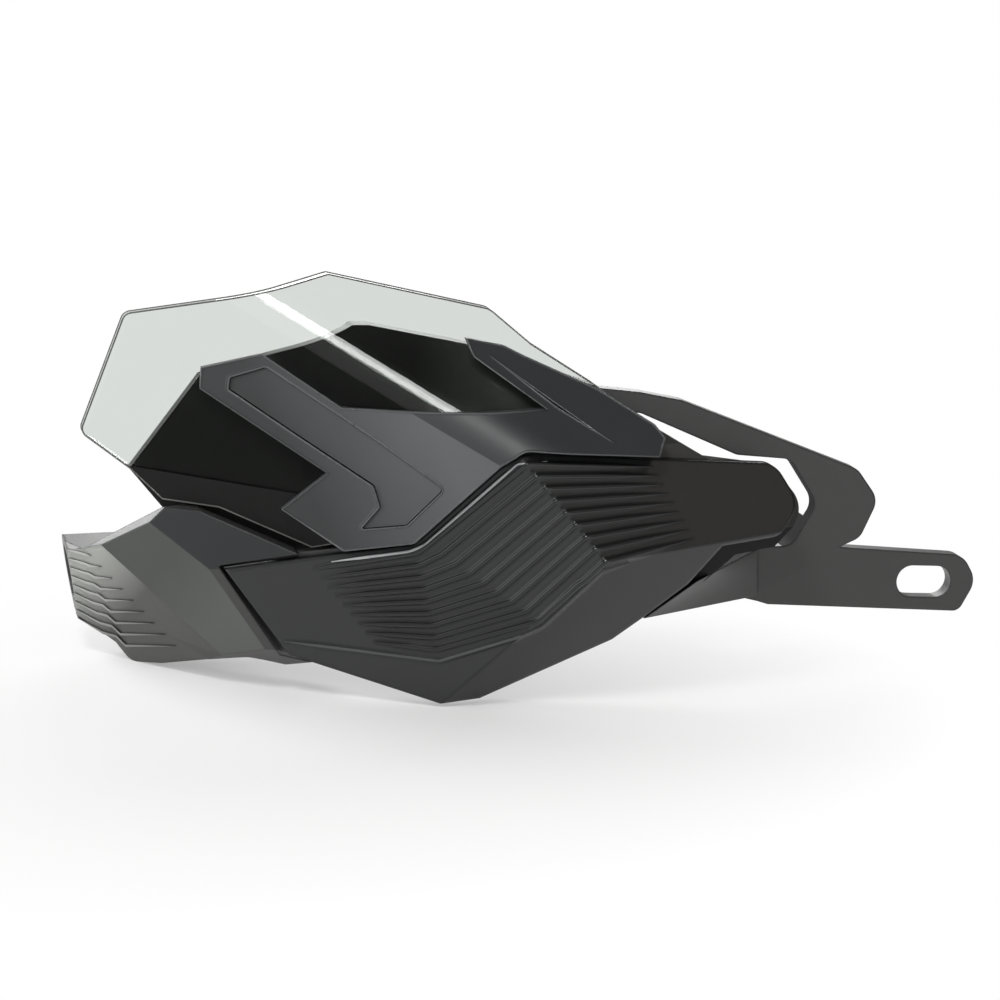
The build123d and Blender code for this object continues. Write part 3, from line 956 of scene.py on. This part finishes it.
@dataclass
class RibbedBand(Moulding):
    """The gloss band, with rounded ribs that bend over its crease, a lighter border rib and a pale crown
    bead as painted highlights.
    """

    first_rib: Path = ((59.0, 12.8), (85.8, 19.0), (88.5, 21.4), (113.5, 44.6), (148.5, 42.0))
    last_rib: Path = ((74.0, -5.9), (90.0, -6.8), (115.9, 2.9), (131.8, 19.8), (157.5, 23.8))
    edge_rib: Path = ((51.5, -7.5), (90.5, -9.9), (116.8, 0.6), (131.5, 16.6), (139.0, 18.6))
    crown_highlight_rib: Path = ((64.0, 15.2), (83.8, 19.3), (87.6, 21.3), (111.1, 44.6), (119.0, 45.0))
    rib_count: int = 9
    rib_radius: float = 0.9 * MM
    rib_rise: float = 0.5 * MM
    edge_radius: float = 0.5 * MM
    edge_rise: float = 0.2 * MM
    foot_rise: float = 0.06 * MM
    crown_highlight_radius: float = 0.42 * MM
    crown_highlight_rise: float = 0.42 * MM
    step: float = 1.5 * MM
    start_share: float = 0.25
    start_gain: float = 0.15
    end_share: float = 0.15
    end_gain: float = 0.085
    roundness: int = 3
    smoothness: int = 2
    spline_order: int = 3

    def surface(self, x: float, z: float) -> tuple[Vector, Vector]:
        """Find a point of the band's front.

        Args:
            x: its place along the handlebar in metres.
            z: its height in metres.

        Returns:
            The point, and the direction that the band faces there.
        """
        facets = (BAND_OUTER, BAND_INNER, BAND_LIP)
        facet = max(facets, key=lambda plane: plane.depth_at(x, z))
        return Vector((x, facet.depth_at(x, z), z)), facet.normal()

    def flatten(self, piece: bpy.types.Object) -> None:
        """Sink the square ribs of the solid, so that the rounded ones cover them.

        Args:
            piece: the band.
        """
        for knot in piece.data.vertices:
            for facet in (BAND_OUTER, BAND_INNER, BAND_LIP):
                rise = -facet.depth_of(knot.co)
                if rise > self.foot_rise:
                    knot.co -= facet.normal() * (rise - self.foot_rise)

    def rib_line(self, path: Path, radius: float, rise: float) -> list[tuple[Vector, float]]:
        """Points along a rib's core, with the rib's share of its full size at each.

        Args:
            path: the rib's corners, as x and z in millimetres.
            radius: radius of the rib.
            rise: height of the rib.

        Returns:
            Points in metres and shares from 0 to 1.
        """
        corners = [Vector((x * MM, z * MM)) for x, z in path]
        places: list[Vector] = []
        for start, end in zip(corners, corners[1:]):
            count = max(1, round((end - start).length / self.step))
            places += [start.lerp(end, index / count) for index in range(count)]
        places.append(corners[-1])
        line = []
        for index, place in enumerate(places):
            left = len(places) - 1 - index
            rising = self.start_share + self.start_gain * index
            falling = self.end_share + self.end_gain * left
            share = min(1.0, rising, falling)
            point, way = self.surface(place.x, place.y)
            line.append((point + way * (rise - radius) * share, share))
        return line

    def rib(self, index: int, path: Path, radius: float, rise: float) -> bpy.types.Object:
        """Make one rib as a tapered rod that is half sunk in the band.

        Args:
            index: number of the rib.
            path: its corners.
            radius: its radius.
            rise: its height.

        Returns:
            The rib's mesh object.
        """
        curve = bpy.data.curves.new(f"rib_{index}", "CURVE")
        curve.dimensions = "3D"
        curve.bevel_depth = radius
        curve.bevel_resolution = self.roundness
        curve.resolution_u = self.smoothness
        curve.use_fill_caps = True
        line = self.rib_line(path, radius, rise)
        spline = curve.splines.new("NURBS")
        spline.points.add(len(line) - 1)
        for knot, (point, share) in zip(spline.points, line):
            knot.co = (*point, 1.0)
            knot.radius = share
        spline.order_u = self.spline_order
        spline.use_endpoint_u = True
        rib = bpy.data.objects.new(f"rib_{index}", curve)
        bpy.context.scene.collection.objects.link(rib)
        select_only(rib)
        bpy.ops.object.convert(target="MESH")
        rib = bpy.context.view_layer.objects.active
        bpy.ops.object.shade_smooth()
        return rib

    def dress(self, piece: bpy.types.Object) -> None:
        """Set the ribs on the band and give both the gloss finish, with the border rib and the crown bead
        in lighter colours as painted highlights.

        Args:
            piece: the band.
        """
        self.flatten(piece)
        super().dress(piece)
        paths = []
        for index in range(self.rib_count):
            share = index / (self.rib_count - 1)
            pairs = zip(self.first_rib, self.last_rib)
            paths.append(tuple((a + (c - a) * share, b + (d - b) * share) for (a, b), (c, d) in pairs))
        ribs = [self.rib(index, path, self.rib_radius, self.rib_rise) for index, path in enumerate(paths)]
        ribs.append(self.rib(self.rib_count, self.edge_rib, self.edge_radius, self.edge_rise))
        ribs.append(self.rib(self.rib_count + 1, self.crown_highlight_rib, self.crown_highlight_radius, self.crown_highlight_rise))
        # The border rib and the crown bead take lighter colours as painted highlights.
        finishes = [Finish.RIB] * self.rib_count + [Finish.BORDER, Finish.CROWN]
        for rib, finish in zip(ribs, finishes):
            rib.data.materials.append(finish_material(finish))
        join_into(piece, ribs)


@dataclass
class Fasteners:
    """All the small metal and rubber pieces behind the covers."""

    def pieces(self) -> list[Moulding]:
        """List the groups of fasteners with their finishes.

        Returns:
            One moulding for each group.
        """
        kinds = (
            ("bar_end_sleeve", "steel", Finish.STEEL),
            ("screen_grommets", "grommet_rubber", Finish.RUBBER),
            ("cover_inserts", "brass", Finish.BRASS),
            ("cover_washers", "steel", Finish.STEEL),
            ("cover_screws", "steel", Finish.STEEL),
            ("band_inserts", "brass", Finish.BRASS),
            ("band_washers", "steel", Finish.STEEL),
            ("band_screws", "steel", Finish.STEEL),
        )
        return [Moulding(node, slot, finish) for node, slot, finish in kinds]

    def build(self) -> list[bpy.types.Object]:
        """Make every group."""
        return [group.build() for group in self.pieces()]


@dataclass(frozen=True)
class Softbox:
    """A soft square light that hangs in one direction from the guard and looks at it."""

    name: str
    way: Point
    distance: float
    size: float
    radiance: float
    colour: Colour = (1, 1, 1)

    def build(self, target: Vector) -> None:
        """Hang the light.

        Args:
            target: the point that it looks at.
        """
        data = bpy.data.lights.new(self.name, "AREA")
        data.size = self.size
        data.color = self.colour
        data.energy = self.radiance * pi * self.size**2
        light = bpy.data.objects.new(self.name, data)
        bpy.context.scene.collection.objects.link(light)
        light.location = target + Vector(self.way).normalized() * self.distance
        light.rotation_euler = (target - light.location).to_track_quat("-Z", "Y").to_euler()


@dataclass
class Studio:
    """White floor, soft light from the left and the camera of the picture."""

    camera_place: Point = (-74.33 * MM, -937.37 * MM, 219.47 * MM)
    camera_forward: Point = (0.2034, 0.9568, -0.2079)
    lens: float = 120.0
    sensor: float = 36.0
    sight: float = 100.0
    floor_reach: float = 30.0
    floor_colour: Colour = (0.95, 0.95, 0.95)
    floor_lift: float = 0.30
    seen_by: tuple[str, ...] = ("Is Camera Ray", "Is Glossy Ray", "Is Transmission Ray")
    shade_middle: Point = (0.03, -0.08, 0.0)
    shade_reach: Point = (0.20, 0.16, 1.0)
    shade_span: Span = (0.35, 1.0)
    target: Point = (0.1, -0.06, 0.02)
    sky: Path = ((0.0, 0.62), (0.05, 0.5), (0.12, 0.06), (0.4, 0.03), (1.0, 0.03))
    backdrop: float = 0.4
    backdrop_depths: Span = (0.1, 0.4)
    backdrop_heights: Span = (0.45, 0.7)
    softboxes: tuple[Softbox, ...] = (
        Softbox("key_softbox", (-0.30, -0.45, 0.85), 1.5, 0.40, 15.5),
        Softbox("fill_softbox", (-0.55, -0.62, 0.55), 1.4, 0.90, 0.45),
        Softbox("left_softbox", (-0.93, -0.02, 0.36), 0.95, 0.80, 1.9),
        Softbox("rim_softbox", (-0.54, 0.69, 0.48), 1.2, 0.50, 10.0),
        Softbox("back_softbox", (0.20, 0.93, 0.30), 1.2, 0.50, 4.0),
        Softbox("front_softbox", (0.10, -0.97, 0.20), 1.6, 0.90, 1.1),
        Softbox("right_softbox", (0.45, -0.60, 0.66), 1.3, 0.70, 0.5, (1.0, 0.93, 0.84)),
    )

    def camera(self) -> None:
        """Set up the camera."""
        data = bpy.data.cameras.new("camera")
        data.sensor_width = self.sensor
        data.lens = self.lens
        data.clip_end = self.sight
        eye = bpy.data.objects.new("camera", data)
        bpy.context.scene.collection.objects.link(eye)
        eye.location = self.camera_place
        eye.rotation_euler = Vector(self.camera_forward).to_track_quat("-Z", "Y").to_euler()
        bpy.context.scene.camera = eye

    def floor_material(self) -> bpy.types.Material:
        """Make the floor white to the eye, apart from the guard's shadow in its middle.

        Returns:
            The material.
        """
        material, graph = new_material("white_floor")
        place = graph.add("ShaderNodeTexCoord", output="Object")
        offset = graph.vector("SUBTRACT", {0: place, 1: self.shade_middle})
        shares = graph.vector("DIVIDE", {0: offset, 1: self.shade_reach})
        distance = graph.vector("LENGTH", {0: shares}, "Value")
        far = graph.ramp(distance, self.shade_span, (self.floor_lift, 1.0))
        near = graph.add("ShaderNodeBsdfDiffuse", {}, {"Color": (*self.floor_colour, 1)})
        glow = graph.add("ShaderNodeEmission", {}, {"Color": (1, 1, 1, 1), "Strength": 1.0})
        camera, glossy, through = (graph.add("ShaderNodeLightPath", output=kind) for kind in self.seen_by)
        seen = camera + glossy + through
        share = far * seen.math("MINIMUM", seen, 1.0)
        mixed = graph.add("ShaderNodeMixShader", {}, {0: share, 1: near, 2: glow})
        graph.add("ShaderNodeOutputMaterial", {}, {"Surface": mixed})
        return material

    def floor(self) -> None:
        """Lay the floor under the guard's lowest point."""
        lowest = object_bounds()[0][2]
        bpy.ops.object.select_all(action="DESELECT")
        bpy.ops.mesh.primitive_plane_add(size=self.floor_reach, location=(0, 0, lowest))
        ground = bpy.context.view_layer.objects.active
        ground.name = "floor"
        ground.data.materials.append(self.floor_material())
        ground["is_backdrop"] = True

    def world(self) -> None:
        """Light the room: pale at the horizon, dim overhead, with a backdrop behind the guard."""
        world = bpy.data.worlds.new("room")
        bpy.context.scene.world = world
        world.use_nodes = True
        graph = Graph(world.node_tree)
        way = graph.add("ShaderNodeTexCoord", output="Generated")
        height = graph.add("ShaderNodeSeparateXYZ", {}, {0: way}, "Z")
        depth = graph.add("ShaderNodeSeparateXYZ", {}, {0: way}, "Y")
        room = graph.add("ShaderNodeValToRGB", {"stops": self.sky}, {0: height}, "Color")
        behind = graph.ramp(depth, self.backdrop_depths, (0.0, 1.0))
        below = graph.ramp(height, self.backdrop_heights, (1.0, 0.0))
        share = behind * below
        light = room * (1 - share) + share * self.backdrop
        shine = graph.add("ShaderNodeBackground", {}, {"Color": (1, 1, 1, 1), "Strength": light})
        graph.add("ShaderNodeOutputWorld", {}, {"Surface": shine})

    def build(self) -> None:
        """Set up the whole studio."""
        self.floor()
        for softbox in self.softboxes:
            softbox.build(Vector(self.target))
        self.world()
        self.camera()
        bpy.context.scene.view_settings.view_transform = "Standard"


def main() -> None:
    """Build the guard piece by piece, then the studio."""
    logging.basicConfig(level=logging.INFO, format="%(message)s")
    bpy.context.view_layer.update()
    GuardFrame("frame", "frame_plastic", Finish.FRAME).build()
    RibbedBand("front_band", "band_plastic", Finish.BAND).build()
    UpperCover("upper_cover", "cover_plastic", Finish.COVER).build()
    WindScreen("wind_screen", "screen_clear", Finish.SCREEN).build()
    Fasteners().build()
    Studio().build()


if __name__ == "__main__":
    main()
